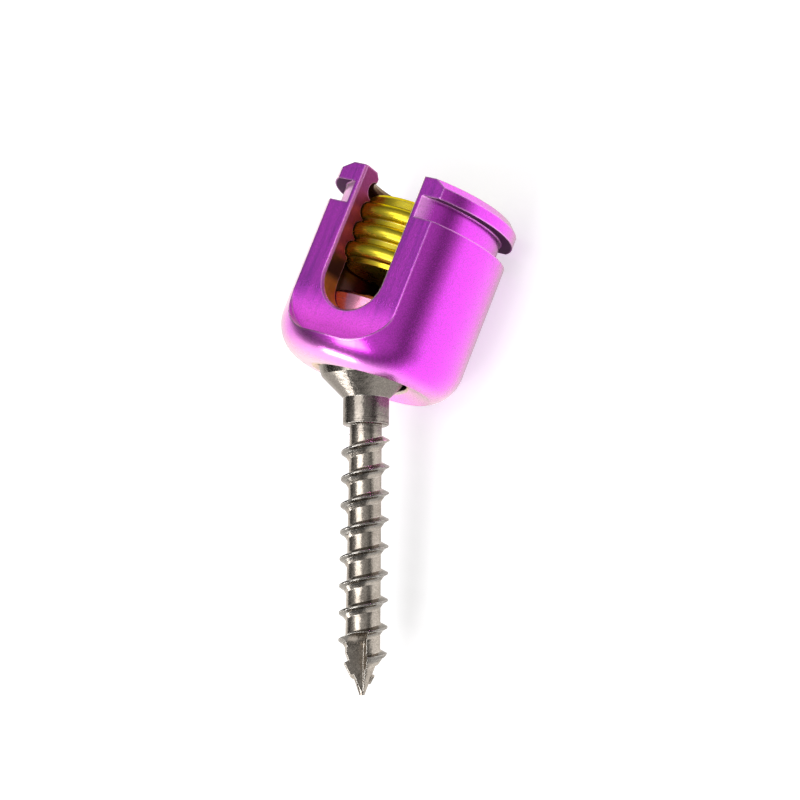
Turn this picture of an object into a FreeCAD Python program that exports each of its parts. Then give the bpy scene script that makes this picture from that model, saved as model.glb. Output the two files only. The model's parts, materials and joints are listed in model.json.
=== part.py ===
"""Polyaxial pedicle screw lying on its side: receiver, set screw, pressure insert and bone screw."""
import FreeCAD, Part
import Sketcher
import math
import os

Vector = FreeCAD.Vector

# Driving sizes in millimetres, angles in degrees. Heights in the receiver count from the floor
# of its rod slot, depths in the bone screw count from the centre of its ball.
SIZES = [
    ("body_diameter", 15.5, "turned outside of the receiver"),
    ("arm_height", 11.9, "slot floor to the top of the arms"),
    ("underside_depth", 4.35, "slot floor to the underside of the receiver"),
    ("bottom_land", 0.635, "flat ring of the underside round its mouth"),
    ("top_chamfer", 0.6, "outer chamfer at the top of the arms"),
    ("bore_chamfer", 0.4, "inner chamfer at the top of the arms"),
    ("flange_height", 1.55, "top flange above the tool groove"),
    ("groove_width", 1.85, "tool groove under the top flange"),
    ("groove_depth", 1.0, "outside of the receiver to the floor of the tool groove"),
    ("flat_across", 11.75, "width over the two milled flats"),
    ("flat_drop", 2.57, "slot floor down to the lowest point of the flats"),
    ("flat_corner", 3.5, "corner radius at the lower end of the flats"),
    ("cutter_margin", 0.02, "how far the flats' cut runs past their natural width"),
    ("rod_diameter", 5.5, "rod that the receiver holds"),
    ("rod_clearance", 0.1, "gap between rod and slot wall, total"),
    ("slot_bevel", 0.18, "bevel on the edges of the slot"),
    ("bore_diameter", 9.4, "bore of the receiver, and tips of its thread"),
    ("thread_pitch", 1.7, "distance between the ridges of the set screw"),
    ("plug_sunk", 1.7, "top of the arms down to the top of the set screw"),
    ("plug_height", 5.9, "length of the set screw"),
    ("ridge_first", 1.0, "underside of the set screw to the middle of its lowest ridge"),
    ("plug_core", 9.2, "diameter of the set screw between its ridges"),
    ("ridge_radius", 0.65, "rounding of the set screw's ridges"),
    ("thread_clearance", 0.1, "gap between the ridges and the receiver's grooves"),
    ("plug_chamfer", 0.25, "chamfers of the set screw"),
    ("plug_socket", 4.0, "drive hexagon of the set screw, across flats"),
    ("plug_socket_depth", 3.6, "depth of that hexagon"),
    ("ball_diameter", 7.8, "ball head of the bone screw"),
    ("ball_drop", 2.4, "slot floor down to the centre of the ball"),
    ("ball_clearance", 0.05, "gap between the ball and its seats"),
    ("mouth_flare", 0.25, "chamfer between the ball's seat and the underside"),
    ("mouth_angle", 67.0, "half angle of the cone that opens the mouth, about the ball's centre"),
    ("mouth_lean", 10.0, "lean of that cone to the side the bone screw favours"),
    ("insert_top", 1.9, "slot floor to the top of the insert"),
    ("insert_ledge", 0.6, "slot floor down to the ledge that carries the insert"),
    ("insert_clearance", 0.05, "gap between the insert and the bore"),
    ("insert_float", 0.03, "gap between the insert and its ledge"),
    ("insert_hole", 4.6, "hole in the insert for the driver"),
    ("insert_chamfer", 0.3, "outer chamfer on top of the insert"),
    ("saddle_depth", 0.15, "depth of the rod's saddle in the insert"),
    ("head_flat", 2.6, "centre of the ball up to its flat top"),
    ("head_socket", 3.5, "drive hexagon of the bone screw, across flats"),
    ("head_socket_depth", 2.4, "depth of that hexagon"),
    ("cone_start", 1.4, "centre of the ball down to the start of the cone"),
    ("neck_diameter", 3.74, "smooth neck of the bone screw"),
    ("neck_end", 5.3, "centre of the ball down to the end of the neck"),
    ("neck_step", 0.35, "length of the shoulder under the neck"),
    ("core_upper", 2.6, "core of the bone thread under the neck"),
    ("core_lower", 2.8, "core of the bone thread above the tip"),
    ("crest_diameter", 3.9, "outside of the bone thread"),
    ("bone_pitch", 2.13, "pitch of the bone thread"),
    ("crest_width", 0.12, "flat on the crest of the bone thread"),
    ("flank_upper", 0.36, "base of the thread's upper flank above the crest"),
    ("flank_lower", 0.72, "base of the thread's lower flank below the crest"),
    ("run_in", 0.9, "length over which the thread rises to full height"),
    ("shank_length", 26.8, "centre of the ball down to the tip"),
    ("tip_length", 3.3, "taper at the end of the shank"),
    ("tip_diameter", 0.4, "blunt end of the tip"),
    ("flute_length", 4.9, "upper end of the flutes to the tip"),
    ("flute_offset", 0.3, "distance of the flute's face from the axis"),
    ("flute_runout", 1.5, "radius at the upper end of the flutes"),
    ("flute_count", 2, "self-tapping flutes"),
    ("flute_turn", -72.5, "rotation of the flutes from the start of the bone thread"),
    ("shank_lean", 18.3, "sideways lean of the bone screw in the receiver"),
    ("shank_drop", 9.6, "lean of the bone screw toward the receiver's back flat"),
    ("shank_turn", 25.5, "rotation of the bone screw about its own axis"),
    ("middle_x", 0.0, "middle of the laid-out part from the slot's floor, measured below"),
    ("middle_y", 0.0, "middle of the laid-out part from the receiver's axis, measured below"),
]

# Sizes that follow from the driving ones, as expressions of the sheet.
BODY = "Sizes.body_diameter / 2"
BORE = "Sizes.bore_diameter / 2"
SEAT = "(Sizes.ball_diameter / 2 + Sizes.ball_clearance)"
BALL = "Sizes.ball_diameter / 2"
SLOT = "(Sizes.rod_diameter + Sizes.rod_clearance) / 2"
PLUG = "Sizes.plug_core / 2"
NECK = "Sizes.neck_diameter / 2"
CREST = "Sizes.crest_diameter / 2"
LIP_DEPTH = "(Sizes.underside_depth - Sizes.ball_drop - Sizes.mouth_flare)"
LIP = f"sqrt({SEAT} ^ 2 - {LIP_DEPTH} ^ 2)"
MOUTH = f"({LIP} + Sizes.mouth_flare)"
ROUNDING = f"({BODY} - {MOUTH} - Sizes.bottom_land)"
GROOVE_HIGH = "(Sizes.arm_height - Sizes.flange_height)"
GROOVE_LOW = f"({GROOVE_HIGH} - Sizes.groove_width)"
PLUG_BOTTOM = "(Sizes.arm_height - Sizes.plug_sunk - Sizes.plug_height)"
RIDGE_REACH = f"sqrt((Sizes.ridge_radius + Sizes.thread_clearance) ^ 2 - ({BORE} - {PLUG}) ^ 2)"
TIP_START = "(Sizes.shank_length - Sizes.tip_length)"
FLUTE_START = "(Sizes.shank_length - Sizes.flute_length)"

OVERRUN = 1.0

doc = FreeCAD.newDocument("PedicleScrew")


def make_sheet():
    """The driving sizes, one row each."""
    sheet = doc.addObject("Spreadsheet::Sheet", "Sizes")
    for row, (name, size, note) in enumerate(SIZES, start=1):
        sheet.set(f"A{row}", note)
        sheet.set(f"B{row}", str(size))
        sheet.setAlias(f"B{row}", name)
    doc.recompute()
    return sheet


def origin_feature(body, role):
    for feature in body.Origin.OriginFeatures:
        if feature.Role == role:
            return feature
    raise ValueError(role)


def pin(sketch, geometry, place, axis, expression):
    """Fix one coordinate of a sketch point to an expression."""
    if expression == "0":
        line = -2 if axis == "X" else -1
        sketch.addConstraint(Sketcher.Constraint("PointOnObject", geometry, place, line))
        return
    size = float(sketch.evalExpression(expression))
    index = sketch.addConstraint(Sketcher.Constraint(f"Distance{axis}", geometry, place, size))
    sketch.setExpression(f"Constraints[{index}]", expression)


def arc_centre(start, end, axis, coordinate):
    """The centre of the arc between two points, from one of the centre's coordinates."""
    middle = (start + end) / 2
    chord = end - start
    if axis == "X":
        return Vector(coordinate, middle.y - (coordinate - middle.x) * chord.x / chord.y, 0)
    return Vector(middle.x - (coordinate - middle.y) * chord.y / chord.x, coordinate, 0)


def make_arc(start, end, centre, turn):
    """The arc from start to end about centre, anticlockwise for a turn of 1."""
    first, last = (start, end) if turn > 0 else (end, start)
    begin = math.atan2(first.y - centre.y, first.x - centre.x)
    finish = math.atan2(last.y - centre.y, last.x - centre.x)
    if finish <= begin:
        finish += 2 * math.pi
    circle = Part.Circle(centre, Vector(0, 0, 1), (start - centre).Length)
    return Part.ArcOfCircle(circle, begin, finish)


def sketch_on(body, name, role, offset=None):
    """An empty sketch on one of the body's own planes, moved along its normal by an expression."""
    sketch = body.newObject("Sketcher::SketchObject", name)
    sketch.AttachmentSupport = (origin_feature(body, role), [""])
    sketch.MapMode = "FlatFace"
    if offset:
        sketch.setExpression("AttachmentOffset.Base.z", offset)
    doc.recompute()
    return sketch


def closed_profile(body, name, role, corners, offset=None):
    """A closed outline. Each corner is (x, y) or (x, y, arc), as expressions, and the arc leads
    to the next corner: (axis of the centre's known coordinate, its expression, turn)."""
    sketch = sketch_on(body, name, role, offset)
    places = [Vector(float(sketch.evalExpression(corner[0])), float(sketch.evalExpression(corner[1])), 0)
              for corner in corners]
    starts = []
    for number, corner in enumerate(corners):
        start, end = places[number], places[(number + 1) % len(corners)]
        if len(corner) == 2:
            sketch.addGeometry(Part.LineSegment(start, end), False)
            starts.append((1, 2))
            continue
        axis, known, turn = corner[2]
        centre = arc_centre(start, end, axis, float(sketch.evalExpression(known)))
        sketch.addGeometry(make_arc(start, end, centre, turn), False)
        starts.append((1, 2) if turn > 0 else (2, 1))
        pin(sketch, number, 3, axis, known)
    for number, corner in enumerate(corners):
        following = (number + 1) % len(corners)
        sketch.addConstraint(Sketcher.Constraint(
            "Coincident", number, starts[number][1], following, starts[following][0]))
        pin(sketch, number, starts[number][0], "X", corner[0])
        pin(sketch, number, starts[number][0], "Y", corner[1])
    doc.recompute()
    return sketch


def new_body(name):
    body = doc.addObject("PartDesign::Body", name)
    body.Label = name
    return body


def revolve(body, name, sketch):
    feature = body.newObject("PartDesign::Revolution", name)
    feature.Profile = sketch
    feature.ReferenceAxis = (sketch, ["V_Axis"])
    feature.Angle = 360.0
    doc.recompute()
    return feature


def turn_away(body, name, sketch):
    """A groove: the outline turned about the body's axis and taken away."""
    feature = body.newObject("PartDesign::Groove", name)
    feature.Profile = sketch
    feature.ReferenceAxis = (sketch, ["V_Axis"])
    feature.Angle = 360.0
    doc.recompute()
    return feature


def pocket(body, name, sketch, length, backwards=False):
    before = body.Shape.Volume
    feature = body.newObject("PartDesign::Pocket", name)
    feature.Profile = sketch
    feature.Reversed = backwards
    feature.setExpression("Length", length)
    doc.recompute()
    if body.Shape.Volume >= before:
        raise RuntimeError(f"{name} cuts nothing")
    return feature


def hexagon(across):
    """Corners of a hexagon with two sides along X, from its size across flats."""
    corners = []
    for number in range(6):
        angle = math.radians(60 * number)
        reach = f"{across} / 2 / cos(30)"
        x = f"{math.cos(angle):.6f} * {reach}"
        y = "0" if number in (0, 3) else f"{math.sin(angle):.6f} * {reach}"
        corners.append((x, y))
    return corners


def bevel_slot(body, size):
    """Bevel the slot's edges where they meet the two flats."""
    flat = float(body.evalExpression("Sizes.flat_across / 2"))
    slot = float(body.evalExpression(SLOT))
    near = 1e-4
    names = []
    for number, edge in enumerate(body.Shape.Edges, start=1):
        box = edge.BoundBox
        on_flat = abs(abs(box.YMin) - flat) < near and abs(box.YMax - box.YMin) < near
        in_slot = max(abs(box.XMin), abs(box.XMax)) < slot + near
        above_floor = box.ZMin > -near
        if on_flat and in_slot and above_floor:
            names.append(f"Edge{number}")
    milled = body.Tip
    feature = body.newObject("PartDesign::Chamfer", "SlotBevel")
    feature.Base = (milled, names)
    feature.setExpression("Size", size)
    doc.recompute()
    return feature


def turns_below(body, room):
    """How many turns of the thread fit between the first one and the end of the room above it."""
    return 1 + math.floor(float(body.evalExpression(f"({room}) / Sizes.thread_pitch")))


def groove_corners(body):
    """The receiver's internal thread from the top groove down, as grooves round the bore."""
    corners = []
    first = f"{PLUG_BOTTOM} + Sizes.ridge_first"
    room = f"Sizes.arm_height - Sizes.bore_chamfer - {RIDGE_REACH} - ({first})"
    for number in reversed(range(turns_below(body, room))):
        middle = f"{first} + {number} * Sizes.thread_pitch"
        corners.append((BORE, f"{middle} + {RIDGE_REACH}", ("X", PLUG, -1)))
        corners.append((BORE, f"{middle} - {RIDGE_REACH}"))
    return corners


def make_tulip_head():
    """The receiver: turned inside and out, with two flats and the rod slot milled into it."""
    body = new_body("tulip_head")
    underside = "-Sizes.underside_depth"
    corners = [
        (LIP, f"{underside} + Sizes.mouth_flare"),
        (MOUTH, underside),
        (f"{BODY} - {ROUNDING}", underside, ("X", f"{BODY} - {ROUNDING}", 1)),
        (BODY, f"{underside} + {ROUNDING}"),
        (BODY, GROOVE_LOW),
        (f"{BODY} - Sizes.groove_depth", GROOVE_LOW),
        (f"{BODY} - Sizes.groove_depth", GROOVE_HIGH),
        (BODY, GROOVE_HIGH),
        (BODY, "Sizes.arm_height - Sizes.top_chamfer"),
        (f"{BODY} - Sizes.top_chamfer", "Sizes.arm_height"),
        (f"{BORE} + Sizes.bore_chamfer", "Sizes.arm_height"),
        (BORE, "Sizes.arm_height - Sizes.bore_chamfer"),
    ]
    corners += groove_corners(body)
    corners += [
        (BORE, "-Sizes.insert_ledge"),
        (SEAT, "-Sizes.insert_ledge"),
        (SEAT, "-Sizes.ball_drop", ("X", "0", -1)),
    ]
    revolve(body, "Turned", closed_profile(body, "TurnedOutline", "XZ_Plane", corners))

    # The mouth opens in a cone about the ball's centre that leans to the side.
    spread = [
        ("0", "0"),
        (BODY, f"-{BODY} / tan(Sizes.mouth_angle)"),
        ("0", f"-{BODY} / tan(Sizes.mouth_angle)"),
    ]
    mouth_sketch = closed_profile(body, "MouthOutline", "XZ_Plane", spread)
    mouth_sketch.setExpression("AttachmentOffset", (
        "placement(vector(0; -Sizes.ball_drop; 0); rotation(vector(0; 0; 1); Sizes.mouth_lean))"))
    turn_away(body, "Mouth", mouth_sketch)

    # Each flat ends below the slot in two round corners.
    reach = f"sqrt(({BODY}) ^ 2 - (Sizes.flat_across / 2) ^ 2) + Sizes.cutter_margin"
    inner = f"{reach} - Sizes.flat_corner"
    above = f"Sizes.arm_height + {OVERRUN}"
    drop = "-Sizes.flat_drop"
    corner_height = f"{drop} + Sizes.flat_corner"
    outline = [
        (f"-({reach})", above),
        (f"-({reach})", corner_height, ("X", f"-({inner})", 1)),
        (f"-({inner})", drop),
        (inner, drop, ("X", inner, 1)),
        (reach, corner_height),
        (reach, above),
    ]
    flat_sketch = closed_profile(body, "FlatOutline", "XZ_Plane", outline, "Sizes.flat_across / 2")
    flat = pocket(body, "Flat", flat_sketch, BODY, backwards=True)
    other = body.newObject("PartDesign::Mirrored", "OtherFlat")
    other.Originals = [flat]
    other.MirrorPlane = (origin_feature(body, "XZ_Plane"), [""])
    body.Tip = other
    doc.recompute()

    slot = [
        (f"-({SLOT})", above),
        (f"-({SLOT})", SLOT, ("Y", SLOT, 1)),
        (SLOT, SLOT),
        (SLOT, above),
    ]
    slot_sketch = closed_profile(body, "SlotOutline", "XZ_Plane", slot, BODY)
    pocket(body, "Slot", slot_sketch, "Sizes.body_diameter")
    bevel_slot(body, "Sizes.slot_bevel")
    return body


def make_set_screw():
    """The set screw, with rounded ridges that lie in the receiver's grooves."""
    body = new_body("set_screw")
    chamfer = "Sizes.plug_chamfer"
    height = "Sizes.plug_height"
    corners = [
        ("0", "0"),
        (f"{PLUG} - {chamfer}", "0"),
    ]
    room = f"{height} - {chamfer} - Sizes.ridge_radius - Sizes.ridge_first"
    for number in range(turns_below(body, room)):
        middle = f"Sizes.ridge_first + {number} * Sizes.thread_pitch"
        corners.append((PLUG, f"{middle} - Sizes.ridge_radius", ("X", PLUG, 1)))
        corners.append((PLUG, f"{middle} + Sizes.ridge_radius"))
    corners += [
        (PLUG, f"{height} - {chamfer}"),
        (f"{PLUG} - {chamfer}", height),
        ("0", height),
    ]
    revolve(body, "Turned", closed_profile(body, "TurnedOutline", "XZ_Plane", corners))
    socket = closed_profile(body, "SocketOutline", "XY_Plane", hexagon("Sizes.plug_socket"), height)
    pocket(body, "Socket", socket, "Sizes.plug_socket_depth")
    return body


def make_pressure_insert():
    """The insert between ball and rod, hollow below and with a shallow saddle on top."""
    body = new_body("pressure_insert")
    outside = f"{BORE} - Sizes.insert_clearance"
    bottom = "-Sizes.insert_ledge + Sizes.insert_float"
    hollow = f"sqrt({SEAT} ^ 2 - (Sizes.ball_drop - Sizes.insert_ledge + Sizes.insert_float) ^ 2)"
    hole = "Sizes.insert_hole / 2"
    hole_start = f"sqrt({SEAT} ^ 2 - ({hole}) ^ 2) - Sizes.ball_drop"
    corners = [
        (hollow, bottom),
        (outside, bottom),
        (outside, "Sizes.insert_top - Sizes.insert_chamfer"),
        (f"{outside} - Sizes.insert_chamfer", "Sizes.insert_top"),
        (hole, "Sizes.insert_top"),
        (hole, hole_start, ("X", "0", -1)),
    ]
    revolve(body, "Turned", closed_profile(body, "TurnedOutline", "XZ_Plane", corners))

    saddle_floor = "Sizes.insert_top - Sizes.saddle_depth"
    saddle = [
        (f"-({SLOT})", f"{saddle_floor} + {SLOT}", ("Y", f"{saddle_floor} + {SLOT}", 1)),
        (SLOT, f"{saddle_floor} + {SLOT}"),
    ]
    saddle_sketch = closed_profile(body, "SaddleOutline", "XZ_Plane", saddle, BODY)
    pocket(body, "Saddle", saddle_sketch, "Sizes.body_diameter")
    return body


def make_bone_screw():
    """The bone screw: ball, cone, neck and core turned, thread swept, flutes and socket cut."""
    body = new_body("bone_screw")
    top = f"sqrt(({BALL}) ^ 2 - Sizes.head_flat ^ 2)"
    cone = f"sqrt(({BALL}) ^ 2 - Sizes.cone_start ^ 2)"
    core_upper = "Sizes.core_upper / 2"
    core_lower = "Sizes.core_lower / 2"
    core_start = "Sizes.neck_end + Sizes.neck_step"
    tip = "Sizes.tip_diameter / 2"
    corners = [
        ("0", "-Sizes.shank_length"),
        (tip, "-Sizes.shank_length"),
        (core_lower, f"-{TIP_START}"),
        (core_upper, f"-({core_start})"),
        (NECK, "-Sizes.neck_end"),
        (NECK, f"-(Sizes.cone_start + {cone} - {NECK})"),
        (cone, "-Sizes.cone_start", ("X", "0", 1)),
        (top, "Sizes.head_flat"),
        ("0", "Sizes.head_flat"),
    ]
    revolve(body, "Turned", closed_profile(body, "TurnedOutline", "XZ_Plane", corners))

    # The thread climbs from inside the tip to the shoulder under the neck.
    root = f"{core_upper} / 2"
    low = "-(Sizes.shank_length - Sizes.bone_pitch / 2)"
    half = "Sizes.crest_width / 2"
    bend = f"{CREST} - ({CREST} - {core_upper}) / 2"
    ridge = [
        (root, f"{low} - Sizes.flank_lower"),
        (core_upper, f"{low} - Sizes.flank_lower"),
        (bend, f"{low} - Sizes.flank_lower / 3"),
        (CREST, f"{low} - {half}"),
        (CREST, f"{low} + {half}"),
        (core_upper, f"{low} + Sizes.flank_upper"),
        (root, f"{low} + Sizes.flank_upper"),
    ]
    ridge_sketch = closed_profile(body, "ThreadOutline", "XZ_Plane", ridge)
    thread = body.newObject("PartDesign::AdditiveHelix", "Thread")
    thread.Profile = ridge_sketch
    thread.ReferenceAxis = (ridge_sketch, ["V_Axis"])
    thread.Mode = "pitch-height-angle"
    thread.setExpression("Pitch", "Sizes.bone_pitch")
    thread.setExpression("Height", f"Sizes.shank_length - Sizes.bone_pitch / 2 - ({core_start})")
    doc.recompute()

    # A turned cut tapers both ends of the thread.
    clear = f"{CREST} + {OVERRUN}"
    envelope = [
        (core_upper, f"-({core_start}) + {OVERRUN} / 4"),
        (core_upper, f"-({core_start})"),
        (CREST, f"-({core_start} + Sizes.run_in)"),
        (CREST, f"-{TIP_START}"),
        (tip, "-Sizes.shank_length"),
        (tip, f"-Sizes.shank_length - {OVERRUN}"),
        (clear, f"-Sizes.shank_length - {OVERRUN}"),
        (clear, f"-({core_start}) + {OVERRUN} / 4"),
    ]
    turn_away(body, "ThreadEnds", closed_profile(body, "ThreadEndsOutline", "XZ_Plane", envelope))

    below = f"-Sizes.shank_length - {OVERRUN}"
    runout = "Sizes.flute_offset + Sizes.flute_runout"
    flute_outline = [
        ("Sizes.flute_offset", below),
        (clear, below),
        (clear, f"-{FLUTE_START}"),
        (runout, f"-{FLUTE_START}", ("X", runout, 1)),
        ("Sizes.flute_offset", f"-{FLUTE_START} - Sizes.flute_runout"),
    ]
    flute_sketch = closed_profile(body, "FluteOutline", "XZ_Plane", flute_outline)
    flute_sketch.setExpression(
        "AttachmentOffset", "placement(vector(0; 0; 0); rotation(vector(0; 1; 0); Sizes.flute_turn))")
    doc.recompute()
    flute = pocket(body, "Flute", flute_sketch, clear, backwards=True)
    flutes = body.newObject("PartDesign::PolarPattern", "Flutes")
    flutes.Originals = [flute]
    flutes.Axis = (origin_feature(body, "Z_Axis"), [""])
    flutes.Angle = 360.0
    flutes.setExpression("Occurrences", "Sizes.flute_count")
    body.Tip = flutes
    doc.recompute()

    socket = closed_profile(body, "SocketOutline", "XY_Plane", hexagon("Sizes.head_socket"),
                            "Sizes.head_flat")
    pocket(body, "Socket", socket, "Sizes.head_socket_depth")
    return body


def check(bodies):
    """Stop before anything is written if an object failed or a shape isn't sound."""
    for thing in doc.Objects:
        if "Invalid" in thing.State or "Error" in thing.State:
            raise RuntimeError(f"{thing.Name} failed: {thing.State}")
    for body in bodies:
        shape = body.Shape
        if shape.isNull() or not shape.isValid() or len(shape.Solids) != 1:
            raise RuntimeError(f"{body.Label} isn't one sound solid")
        print(body.Label, "volume", round(shape.Volume, 3))


sheet = make_sheet()
bodies = [make_tulip_head(), make_set_screw(), make_pressure_insert(), make_bone_screw()]

# The receiver lies with its axis along +X, its front flat up and its right side to -Y. It rests
# on the tops of its arms and on the rim under its back flat, which stands out past the flat.
LYING = "rotation(vector(-1; 1; -1); 120)"
RIM_RISE = f"(Sizes.underside_depth - {ROUNDING} - Sizes.flat_drop)"
RIM = f"({BODY} - {ROUNDING} + sqrt({ROUNDING} ^ 2 - {RIM_RISE} ^ 2))"
REST_ANGLE = f"atan2({RIM} - Sizes.flat_across / 2; Sizes.arm_height + Sizes.flat_drop)"
REST_HEIGHT = f"{RIM} * cos({REST_ANGLE}) - Sizes.flat_drop * sin({REST_ANGLE})"
RESTING = f"placement(vector(-Sizes.middle_x; -Sizes.middle_y; {REST_HEIGHT});"
RESTING += f" rotation(vector(0; 1; 0); {REST_ANGLE}))"

# The bone screw leans sideways and a little down, as far as the friction in its seat holds it.
LEANING = "rotation(vector(0; 0; 1); Sizes.shank_lean)"
LEANING += f" * rotation(vector(0; -1; 0); Sizes.shank_drop) * {LYING}"
LEANING += " * rotation(vector(0; 0; 1); Sizes.shank_turn)"

receiver, plug, insert, screw = bodies
receiver.setExpression("Placement", f"{RESTING} * placement(vector(0; 0; 0); {LYING})")
insert.setExpression("Placement", f"{RESTING} * placement(vector(0; 0; 0); {LYING})")
plug.setExpression("Placement", f"{RESTING} * placement(vector({PLUG_BOTTOM}; 0; 0); {LYING})")
screw.setExpression("Placement", f"{RESTING} * placement(vector(-Sizes.ball_drop; 0; 0); {LEANING})")
doc.recompute()

# The origin goes under the middle of what is laid out.
extent = Part.makeCompound([body.Shape for body in bodies]).optimalBoundingBox(False)
sheet.set(sheet.getCellFromAlias("middle_x"), str(extent.Center.x))
sheet.set(sheet.getCellFromAlias("middle_y"), str(extent.Center.y))
doc.recompute()

check(bodies)
os.makedirs("parts", exist_ok=True)
for body in bodies:
    body.Shape.exportStep(f"parts/{body.Label}.step")
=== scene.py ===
import json
import math

import bpy
from mathutils import Matrix, Vector

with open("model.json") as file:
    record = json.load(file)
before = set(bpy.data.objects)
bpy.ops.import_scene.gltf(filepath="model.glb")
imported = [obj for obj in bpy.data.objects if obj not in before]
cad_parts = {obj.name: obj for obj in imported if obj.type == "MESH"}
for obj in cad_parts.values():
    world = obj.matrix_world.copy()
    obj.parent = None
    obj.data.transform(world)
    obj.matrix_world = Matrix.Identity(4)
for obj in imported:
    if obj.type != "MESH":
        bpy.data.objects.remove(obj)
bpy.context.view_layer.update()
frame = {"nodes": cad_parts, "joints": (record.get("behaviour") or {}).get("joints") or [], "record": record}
MM = 0.001

JOINTS = {joint["name"]: joint for joint in frame["joints"]}
MOUNTS = {mount["name"]: mount for mount in frame["record"]["mounts"]}

# The receiver's own directions: up its arms, out of its front flat, and across its slot.
ARMS_UP = Vector(JOINTS["set_screw_turn"]["axis"])
BALL_CENTRE = Vector(JOINTS["screw_swivel"]["pos_m"])
ACROSS = Vector((0, -1, 0))
FLAT_OUT = ACROSS.cross(ARMS_UP)
if FLAT_OUT.z < 0:
    FLAT_OUT.negate()
TOWARD_TIP = Vector(MOUNTS["bone_thread"]["axis"])

# The photograph's viewpoint, in degrees, metres and millimetres of lens.
CAMERA_AZIMUTH = -4.0
CAMERA_ELEVATION = 56.144
CAMERA_ROLL = -68.619
CAMERA_DISTANCE = 0.14266
CAMERA_LENS = 79.568
CAMERA_SENSOR = 36
CAMERA_CLIP = 5 * MM
TARGET = Vector((3.053, -2.555, 5.733)) * MM


def direction(azimuth, elevation):
    """The unit vector from the part toward a place around it; azimuth 0 is toward -Y."""
    a, e = math.radians(azimuth), math.radians(elevation)
    return Vector((math.sin(a) * math.cos(e), -math.cos(a) * math.cos(e), math.sin(e)))


def aimed(azimuth, elevation, distance, roll=0.0):
    """The matrix of a camera or lamp around the part that looks at the target."""
    back = direction(azimuth, elevation)
    right = Vector((-back.y, back.x, 0)).normalized()
    up = back.cross(right)
    angle = math.radians(roll)
    turned = right * math.cos(angle) + up * math.sin(angle)
    upright = up * math.cos(angle) - right * math.sin(angle)
    matrix = Matrix((turned, upright, back)).transposed().to_4x4()
    matrix.translation = TARGET + back * distance
    return matrix


def link(thing):
    bpy.context.scene.collection.objects.link(thing)
    return thing


# Camera

camera = link(bpy.data.objects.new("camera", bpy.data.cameras.new("camera")))
camera.matrix_world = aimed(CAMERA_AZIMUTH, CAMERA_ELEVATION, CAMERA_DISTANCE, CAMERA_ROLL)
camera.data.lens = CAMERA_LENS
camera.data.sensor_width = CAMERA_SENSOR
camera.data.clip_start = CAMERA_CLIP
bpy.context.scene.camera = camera
bpy.context.scene.view_settings.view_transform = "Standard"


# Node trees

# Where most of a noise's values lie.
NOISE_LOW, NOISE_HIGH = 0.3, 0.7

# The sockets of a colour Mix node: its factor and its two colours.
MIX_FACTOR, MIX_FIRST, MIX_SECOND, MIX_RESULT = 0, 6, 7, 2


class Graph:
    """A node tree, with short calls for the nodes that the materials are made of."""

    def __init__(self, tree):
        self.tree = tree
        tree.nodes.clear()

    def add(self, kind, inputs=None, **settings):
        node = self.tree.nodes.new(kind)
        for name, value in settings.items():
            setattr(node, name, value)
        for name, value in (inputs or {}).items():
            socket = node.inputs[name]
            if isinstance(value, bpy.types.NodeSocket):
                self.tree.links.new(value, socket)
            else:
                socket.default_value = value
        return node

    def math(self, operation, *values, clamp=False):
        settings = {"operation": operation, "use_clamp": clamp}
        return self.add("ShaderNodeMath", dict(enumerate(values)), **settings).outputs[0]

    def plus(self, first, second):
        return self.math("ADD", first, second)

    def times(self, first, *others):
        for other in others:
            first = self.math("MULTIPLY", first, other)
        return first

    def distance(self, first, second):
        return self.math("ABSOLUTE", self.math("SUBTRACT", first, second))

    def without(self, first, *others):
        """1 less the largest of these masks."""
        for other in others:
            first = self.math("MAXIMUM", first, other)
        return self.math("SUBTRACT", 1.0, first)

    def vector(self, operation, first, second=None):
        inputs = {0: first} if second is None else {0: first, 1: second}
        return self.add("ShaderNodeVectorMath", inputs, operation=operation)

    def dot(self, first, second):
        return self.vector("DOT_PRODUCT", first, second).outputs["Value"]

    def noise(self, vector, size, detail, roughness=0.5):
        inputs = {
            "Vector": vector, "Scale": 1 / size, "Detail": detail, "Roughness": roughness,
        }
        return self.add("ShaderNodeTexNoise", inputs).outputs["Fac"]

    def span(self, value, low, high, start=0.0, end=1.0):
        """A smooth step from start, where the value is low, to end, where it is high."""
        inputs = {
            "Value": value, "From Min": low, "From Max": high, "To Min": start, "To Max": end,
        }
        step = self.add("ShaderNodeMapRange", inputs, interpolation_type="SMOOTHSTEP")
        return step.outputs["Result"]

    def spread(self, noise, start=0.0, end=1.0):
        return self.span(noise, NOISE_LOW, NOISE_HIGH, start, end)

    def mix(self, factor, first, second, blend="MIX"):
        node = self.add("ShaderNodeMix", {MIX_FACTOR: factor}, data_type="RGBA", blend_type=blend)
        for number, colour in ((MIX_FIRST, first), (MIX_SECOND, second)):
            if isinstance(colour, bpy.types.NodeSocket):
                self.tree.links.new(colour, node.inputs[number])
            else:
                node.inputs[number].default_value = (*colour, 1)
        return node.outputs[MIX_RESULT]

    def shaded(self, colour, level):
        """The colour, darker or lighter by a level around 1."""
        grey = self.add("ShaderNodeCombineColor", {0: level, 1: level, 2: level}).outputs[0]
        return self.mix(1.0, colour, grey, "MULTIPLY")

    def bump(self, height, distance, normal):
        inputs = {"Height": height, "Distance": distance, "Normal": normal, "Strength": 1.0}
        return self.add("ShaderNodeBump", inputs).outputs["Normal"]


# Metals

# The agreement of the rounded and the true normal, from a plain face to a sharp edge.
EDGE_START, EDGE_FULL = 0.998, 0.93
EDGE_SAMPLES = 6


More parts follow.
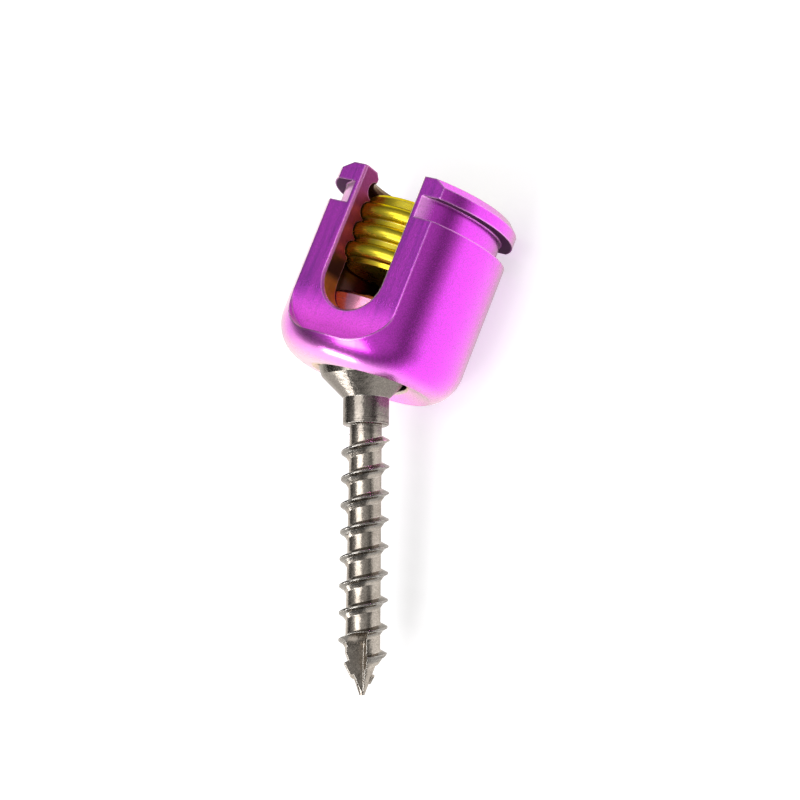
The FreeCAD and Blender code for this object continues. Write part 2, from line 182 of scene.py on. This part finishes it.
class Metal(Graph):
    """A metal that rounds its own edges, with its place and facing on the piece at hand."""

    def __init__(self, name, edge_radius):
        self.material = bpy.data.materials.new(name)
        self.material.use_nodes = True
        super().__init__(self.material.node_tree)
        here = self.add("ShaderNodeTexCoord")
        self.place = here.outputs["Object"]
        self.facing = here.outputs["Normal"]
        bevel = self.add("ShaderNodeBevel", {"Radius": edge_radius}, samples=EDGE_SAMPLES)
        self.rounded = bevel.outputs["Normal"]
        true = self.add("ShaderNodeNewGeometry").outputs["Normal"]
        self.edge = self.span(self.dot(self.rounded, true), EDGE_START, EDGE_FULL)

    def along(self, way):
        """How far a point of the piece is from the ball's centre, measured in one direction."""
        return self.math("SUBTRACT", self.dot(self.place, way), BALL_CENTRE.dot(way))

    def from_axis(self, way):
        """How far a point is from the line through the ball's centre that runs that way."""
        out = self.vector("SUBTRACT", self.place, BALL_CENTRE).outputs[0]
        turned = self.vector("CROSS_PRODUCT", out, way).outputs[0]
        return self.vector("LENGTH", turned).outputs["Value"]

    def stretched(self, way, length):
        """The place on the piece, for a noise whose marks are that many times longer one way."""
        squeeze = self.times(self.dot(self.place, way), 1 / length - 1)
        inputs = {0: way, "Scale": squeeze}
        shift = self.add("ShaderNodeVectorMath", inputs, operation="SCALE").outputs[0]
        return self.vector("ADD", self.place, shift).outputs[0]

    def finish(self, colour, roughness, normal, tint, **more):
        inputs = {
            "Base Color": colour, "Roughness": roughness, "Normal": normal,
            "Metallic": 1.0, "Specular Tint": (*tint, 1.0),
        }
        inputs.update({name.replace("_", " "): value for name, value in more.items()})
        shader = self.add("ShaderNodeBsdfPrincipled", inputs)
        self.add("ShaderNodeOutputMaterial", {"Surface": shader.outputs[0]})
        return self.material


# Each pair says where a mask starts and where it is full.

# On the receiver, as heights up the arms from the ball's centre.
FLAT_PAINTED_LIGHT = (4.2 * MM, 0.6 * MM)
TURNED_END = (1.5 * MM, 0.5 * MM)
SLOT_FLOOR = (2.1 * MM, 2.3 * MM)
WALL_TO_PAINTED_SHADE = (7.2 * MM, 6.4 * MM)
WALL_TO_PAINTED_REFLECTION = (5.3 * MM, 4.4 * MM)
BORE_WIDENS = (-0.3 * MM, 0.6 * MM)
SEAT_TO_BORE = (-0.5 * MM, 0.5 * MM)
RIM_HIGHLIGHT_HEIGHTS = (1.0 * MM, 8.0 * MM)
ARM_ENDS = (5.0 * MM, 6.0 * MM)

# On the receiver, as distances from the arms' axis, or sideways across the slot.
MOUTH_REACH, BORE_REACH = 4.05 * MM, 5.50 * MM
BORE_EDGE = (0.10 * MM, -0.10 * MM)
GROOVE_RADIUS = 6.75 * MM
GROOVE_FLOOR = (0.08 * MM, 0.04 * MM)
SLOT_SIDES = (2.90 * MM, 2.85 * MM)
RIM_SIDES = (3.2 * MM, 3.1 * MM)

# On the receiver, as the dot product of a face's normal with a direction.
ON_FLAT = (0.985, 0.997)
ASIDE_OF_FLAT = (0.55, 0.45)
GROOVE_ENDS = (0.74, 0.88)
CHAMFER, CHAMFER_SPREAD = 0.707, (0.16, 0.10)
ROUND_TO_BALL = (-0.55, -0.95)
DOWN_ARMS = (-0.80, -0.95)

# On the bone screw, as distances toward the tip from the ball's centre, and from its axis.
CONE_SHADOW_DEEPENS = (4.8 * MM, 3.0 * MM)
NECK_START = (4.3 * MM, 4.8 * MM)
NECK_END = (6.6 * MM, 5.6 * MM)
THREAD_START = (6.6 * MM, 7.2 * MM)
FLANKS = (1.42 * MM, 1.60 * MM)


# The receiver's colours: its faces, its slot's walls from the top down, and its bore; several of them are
# painted highlights, reflections or shade.
PURPLE, PURPLE_CLOUD = (0.80, 0.022, 0.85), (0.86, 0.06, 0.98)
MILLED, MILLED_STREAK, MILLED_PAINTED_LIGHT = (0.78, 0.030, 0.88), (0.50, 0.012, 0.66), (1.0, 0.12, 0.94)
TURNED_PAINTED_REFLECTION, CHAMFER_PAINTED_HIGHLIGHT, GROOVE_PAINTED_HIGHLIGHT = (1.0, 0.36, 0.86), (1.0, 0.22, 0.70), (1.0, 0.38, 0.92)
FLANGE_SHADE, PURPLE_EDGE_HIGHLIGHT = (0.05, 0.003, 0.05), (1.0, 0.50, 0.90)
WALL_TOP, WALL_PAINTED_SHADE, WALL_PAINTED_REFLECTION = (0.40, 0.070, 0.26), (0.13, 0.045, 0.045), (1.0, 0.42, 0.15)
SEAT_METAL, BORE_SHADE = (0.60, 0.51, 0.48), (0.060, 0.022, 0.022)


def purple_titanium():
    m = Metal("anodised_purple", 0.22 * MM)
    grain = m.noise(m.place, 0.09 * MM, 3)
    cloud = m.noise(m.place, 1.6 * MM, 2)
    streaks = m.noise(m.stretched(ARMS_UP, 14), 0.45 * MM, 2)
    height = m.along(ARMS_UP)
    radius = m.from_axis(ARMS_UP)
    sideways = m.math("ABSOLUTE", m.along(ACROSS))
    outward = m.math("ABSOLUTE", m.dot(m.facing, FLAT_OUT))
    upward = m.dot(m.facing, ARMS_UP)

    # The milled flats have streaks along the arms, and a painted light makes them paler toward the ball.
    flat = m.span(outward, *ON_FLAT)
    low = m.times(flat, m.span(height, *FLAT_PAINTED_LIGHT))
    milled = m.mix(m.span(streaks, 0.38, 0.72), MILLED, MILLED_STREAK)
    milled = m.mix(low, milled, MILLED_PAINTED_LIGHT)
    colour = m.mix(flat, PURPLE, milled)
    colour = m.mix(m.span(cloud, 0.35, 0.75, 0.0, 0.12), colour, PURPLE_CLOUD)

    # Where the turned end faces down round the ball it is paler: a painted reflection.
    pale = m.times(m.span(upward, *ROUND_TO_BALL, 0.0, 0.8), m.span(height, *TURNED_END))
    colour = m.mix(pale, colour, TURNED_PAINTED_REFLECTION)

    # The oxide is thin in the slot, whose walls go from rosy at the top to painted shade in the middle and a
    # painted orange reflection at the foot. The metal is bare round the ball, and the bore beyond it is
    # painted dark as shade.
    slot = m.times(
        m.span(height, *SLOT_FLOOR), m.span(outward, *ASIDE_OF_FLAT),
        m.span(sideways, *SLOT_SIDES),
    )
    wall_with_painted_light = m.mix(m.span(height, *WALL_TO_PAINTED_REFLECTION), WALL_PAINTED_SHADE, WALL_PAINTED_REFLECTION)
    wall_with_painted_light = m.mix(m.span(height, *WALL_TO_PAINTED_SHADE), WALL_TOP, wall_with_painted_light)
    colour = m.mix(slot, colour, wall_with_painted_light)
    reach = m.span(height, *BORE_WIDENS, MOUTH_REACH, BORE_REACH)
    inside = m.span(m.math("SUBTRACT", radius, reach), *BORE_EDGE)
    inside = m.times(inside, m.without(slot))
    bare_seat_and_bore_shade = m.mix(m.span(height, *SEAT_TO_BORE), SEAT_METAL, BORE_SHADE)
    colour = m.mix(inside, colour, bare_seat_and_bore_shade)

    # Painted highlights make the slot's chamfer pink, more so higher up, and the groove's ends pale; painted
    # shade makes the flange dark below.
    chamfer_highlight = m.times(
        m.span(m.distance(outward, CHAMFER), *CHAMFER_SPREAD), m.span(sideways, *RIM_SIDES),
        m.span(height, *RIM_HIGHLIGHT_HEIGHTS, 0.15, 1.0),
    )
    colour = m.mix(chamfer_highlight, colour, CHAMFER_PAINTED_HIGHLIGHT)
    under = m.times(m.span(upward, *DOWN_ARMS), m.span(height, *ARM_ENDS))
    colour = m.mix(under, colour, FLANGE_SHADE)
    groove_highlight = m.times(
        m.span(m.distance(radius, GROOVE_RADIUS), *GROOVE_FLOOR),
        m.span(outward, *GROOVE_ENDS), m.without(flat),
    )
    colour = m.mix(groove_highlight, colour, GROOVE_PAINTED_HIGHLIGHT)

    # Fine grain, and painted highlights that make the edges paler.
    colour = m.shaded(colour, m.spread(grain, 0.80, 1.17))
    edge_highlight = m.times(m.edge, m.math("SUBTRACT", 0.65, inside, clamp=True))
    colour = m.mix(edge_highlight, colour, PURPLE_EDGE_HIGHLIGHT)

    roughness = m.spread(grain, 0.20, 0.27)
    for mask, rougher in ((low, 0.52), (slot, 0.35), (groove_highlight, 0.25), (under, 0.60)):
        roughness = m.plus(roughness, m.times(mask, rougher))
    normal = m.bump(grain, 0.0012 * MM, m.rounded)
    normal = m.bump(streaks, 0.0010 * MM, normal)
    clear = m.without(slot, under, inside)
    return m.finish(
        colour, roughness, normal, tint=(1.0, 0.86, 0.66), Metallic=m.without(under),
        Sheen_Weight=clear, Sheen_Roughness=0.38, Sheen_Tint=(1.0, 0.84, 0.84, 1.0),
        Coat_Weight=clear, Coat_Roughness=0.2, Coat_IOR=1.6,
    )


GOLD, GOLD_CLOUD = (0.73, 0.55, 0.022), (0.62, 0.50, 0.035)
GOLD_RING, GOLD_EDGE_HIGHLIGHT = (0.44, 0.39, 0.05), (1.0, 0.95, 0.60)


def gold_titanium():
    m = Metal("anodised_gold", 0.09 * MM)
    rings = m.noise(m.stretched(ARMS_UP, 0.05), 1.1 * MM, 3)
    grain = m.noise(m.place, 0.10 * MM, 2)
    cloud = m.noise(m.place, 1.2 * MM, 2)
    colour = m.mix(m.spread(cloud), GOLD, GOLD_CLOUD)
    colour = m.mix(m.span(rings, 0.35, 0.7, 0.0, 0.55), colour, GOLD_RING)
    # Painted highlights make the edges paler.
    colour = m.mix(m.times(m.edge, 0.5), colour, GOLD_EDGE_HIGHLIGHT)
    roughness = m.spread(rings, 0.24, 0.36)
    normal = m.bump(grain, 0.0008 * MM, m.rounded)
    normal = m.bump(rings, 0.003 * MM, normal)
    return m.finish(colour, roughness, normal, tint=(1.0, 0.88, 0.25))


# The insert is as pink as the photograph shows it at the foot of the slot.
INSERT, INSERT_GRAIN, INSERT_EDGE_HIGHLIGHT = (0.86, 0.30, 0.46), (0.96, 0.38, 0.58), (0.92, 0.80, 0.80)


def bright_titanium():
    m = Metal("machined_insert", 0.08 * MM)
    rings = m.noise(m.stretched(ARMS_UP, 0.06), 1.2 * MM, 2)
    grain = m.noise(m.place, 0.10 * MM, 2)
    colour = m.mix(m.spread(grain), INSERT, INSERT_GRAIN)
    # Painted highlights make the edges paler.
    colour = m.mix(m.times(m.edge, 0.6), colour, INSERT_EDGE_HIGHLIGHT)
    roughness = m.spread(rings, 0.18, 0.28)
    normal = m.bump(rings, 0.001 * MM, m.rounded)
    return m.finish(colour, roughness, normal, tint=(0.9, 0.8, 0.8))


GREY, GREY_CLOUD, GREY_EDGE_HIGHLIGHT = (0.34, 0.297, 0.252), (0.46, 0.41, 0.355), (0.94, 0.90, 0.84)
FLANK_PAINTED_SHADE, NECK_PAINTED_SHADE, CONE_PAINTED_SHADOW = (0.20, 0.19, 0.175), (0.25, 0.222, 0.196), (0.15, 0.135, 0.115)


def grey_titanium():
    m = Metal("machined_bone_screw", 0.06 * MM)
    turning = m.noise(m.stretched(TOWARD_TIP, 0.09), 1.5 * MM, 3)
    grain = m.noise(m.place, 0.12 * MM, 4, 0.6)
    cloud = m.noise(m.place, 1.4 * MM, 2)
    dents = m.noise(m.place, 0.55 * MM, 2)
    down = m.along(TOWARD_TIP)
    radius = m.from_axis(TOWARD_TIP)

    # Painted shade makes the thread's flanks and the neck darker than the core, and a painted shadow darkens
    # the cone toward the ball.
    above = m.span(down, *NECK_END)
    flank_shade = m.times(m.span(down, *THREAD_START), m.span(radius, *FLANKS), 0.85)
    colour = m.mix(m.spread(cloud), GREY, GREY_CLOUD)
    colour = m.mix(flank_shade, colour, FLANK_PAINTED_SHADE)
    colour = m.mix(above, colour, NECK_PAINTED_SHADE)
    colour = m.mix(m.span(down, *CONE_SHADOW_DEEPENS, 0.0, 0.35), colour, CONE_PAINTED_SHADOW)

    # Fine grain everywhere, turned rings on the neck, and painted highlights on the edges.
    rings = m.times(
        above, m.span(down, *NECK_START), m.span(turning, 0.35, 0.65, -0.30, 0.30)
    )
    colour = m.shaded(colour, m.plus(m.span(grain, 0.35, 0.65, 0.78, 1.18), rings))
    colour = m.mix(m.times(m.edge, 0.7), colour, GREY_EDGE_HIGHLIGHT)
    roughness = m.spread(grain, 0.19, 0.30)
    normal = m.bump(grain, 0.0025 * MM, m.rounded)
    normal = m.bump(dents, 0.035 * MM, normal)
    normal = m.bump(m.times(turning, m.plus(above, 0.6)), 0.005 * MM, normal)
    return m.finish(colour, roughness, normal, tint=(0.95, 0.91, 0.86))


DRESS = {
    "tulip_head": purple_titanium,
    "set_screw": gold_titanium,
    "pressure_insert": bright_titanium,
    "bone_screw": grey_titanium,
}
for node_name, make in DRESS.items():
    metal = make()
    for slot in frame["nodes"][node_name].material_slots:
        slot.material = metal


# Floor, lamps and the studio around the part

FLOOR_SIZE = 1.6
FLOOR_GLOW = 0.60
FLOOR_SPECK = 0.8 * MM
PAPER_DARK, PAPER_LIGHT = (0.60, 0.60, 0.60), (0.64, 0.64, 0.64)


def floor():
    """A pale matt sheet, which glows a little where the camera or a reflection sees it."""
    mesh = bpy.data.meshes.new("floor")
    half = FLOOR_SIZE / 2
    corners = [(-half, -half, 0), (half, -half, 0), (half, half, 0), (-half, half, 0)]
    mesh.from_pydata(corners, [], [(0, 1, 2, 3)])
    sheet = link(bpy.data.objects.new("floor", mesh))
    material = bpy.data.materials.new("floor")
    material.use_nodes = True
    g = Graph(material.node_tree)
    speck = g.noise(g.add("ShaderNodeTexCoord").outputs["Object"], FLOOR_SPECK, 2)
    paper = g.mix(speck, PAPER_DARK, PAPER_LIGHT)
    matt = g.add("ShaderNodeBsdfDiffuse", {"Color": paper}).outputs[0]
    ray = g.add("ShaderNodeLightPath").outputs
    seen = g.plus(ray["Is Camera Ray"], ray["Is Glossy Ray"])
    seen = g.math("ADD", seen, ray["Is Transmission Ray"], clamp=True)
    glow = g.add("ShaderNodeEmission", {"Strength": g.times(seen, FLOOR_GLOW)}).outputs[0]
    surface = g.add("ShaderNodeAddShader", {0: matt, 1: glow}).outputs[0]
    g.add("ShaderNodeOutputMaterial", {"Surface": surface})
    sheet.data.materials.append(material)


# Soft boxes: azimuth and elevation in degrees, width and length in metres, and radiance, which
# is what a mirror would show of the box.
LAMP_DISTANCE = 0.30
LAMPS = {
    "key": (-88, 51, 0.17, 0.12, 6.5),
    "overhead": (180, 84, 0.16, 0.19, 3.0),
    "strip": (-112, 5, 0.12, 0.04, 12.0),
}


def lamp(name, azimuth, elevation, width, length, radiance):
    data = bpy.data.lights.new(name, "AREA")
    data.shape = "RECTANGLE"
    data.size, data.size_y = width, length
    data.energy = radiance * math.pi * width * length
    box = link(bpy.data.objects.new(name, data))
    box.matrix_world = aimed(azimuth, elevation, LAMP_DISTANCE)
    box.visible_camera = False


# What stands around the part, by the sine of its elevation: pale at the floor's edge,
# a dark band above that, and a paler ceiling. Its far side is half as bright.
STUDIO = (
    (0.00, 0.72), (0.12, 0.42), (0.25, 0.14), (0.36, 0.13), (0.52, 0.36), (0.80, 0.52),
    (1.00, 0.60),
)
FAR_SIDE = (0, 1, 0)
FAR_START, FAR_FULL, FAR_LEVEL = 0.30, 0.85, 0.50


def studio():
    world = bpy.data.worlds.new("studio")
    bpy.context.scene.world = world
    world.use_nodes = True
    g = Graph(world.node_tree)
    way = g.add("ShaderNodeTexCoord").outputs["Generated"]
    height = g.add("ShaderNodeSeparateXYZ", {0: way}).outputs["Z"]
    ramp = g.add("ShaderNodeValToRGB", {"Fac": height})
    stops = ramp.color_ramp.elements
    while len(stops) < len(STUDIO):
        stops.new(0.5)
    for stop, (position, level) in zip(stops, STUDIO):
        stop.position = position
        stop.color = (level, level, level, 1)
    dimmed = g.span(g.dot(way, FAR_SIDE), FAR_START, FAR_FULL, 1.0, FAR_LEVEL)
    inputs = {"Color": ramp.outputs[0], "Strength": dimmed}
    light = g.add("ShaderNodeBackground", inputs).outputs[0]
    g.add("ShaderNodeOutputWorld", {"Surface": light})


floor()
for lamp_name, settings in LAMPS.items():
    lamp(lamp_name, *settings)
studio()
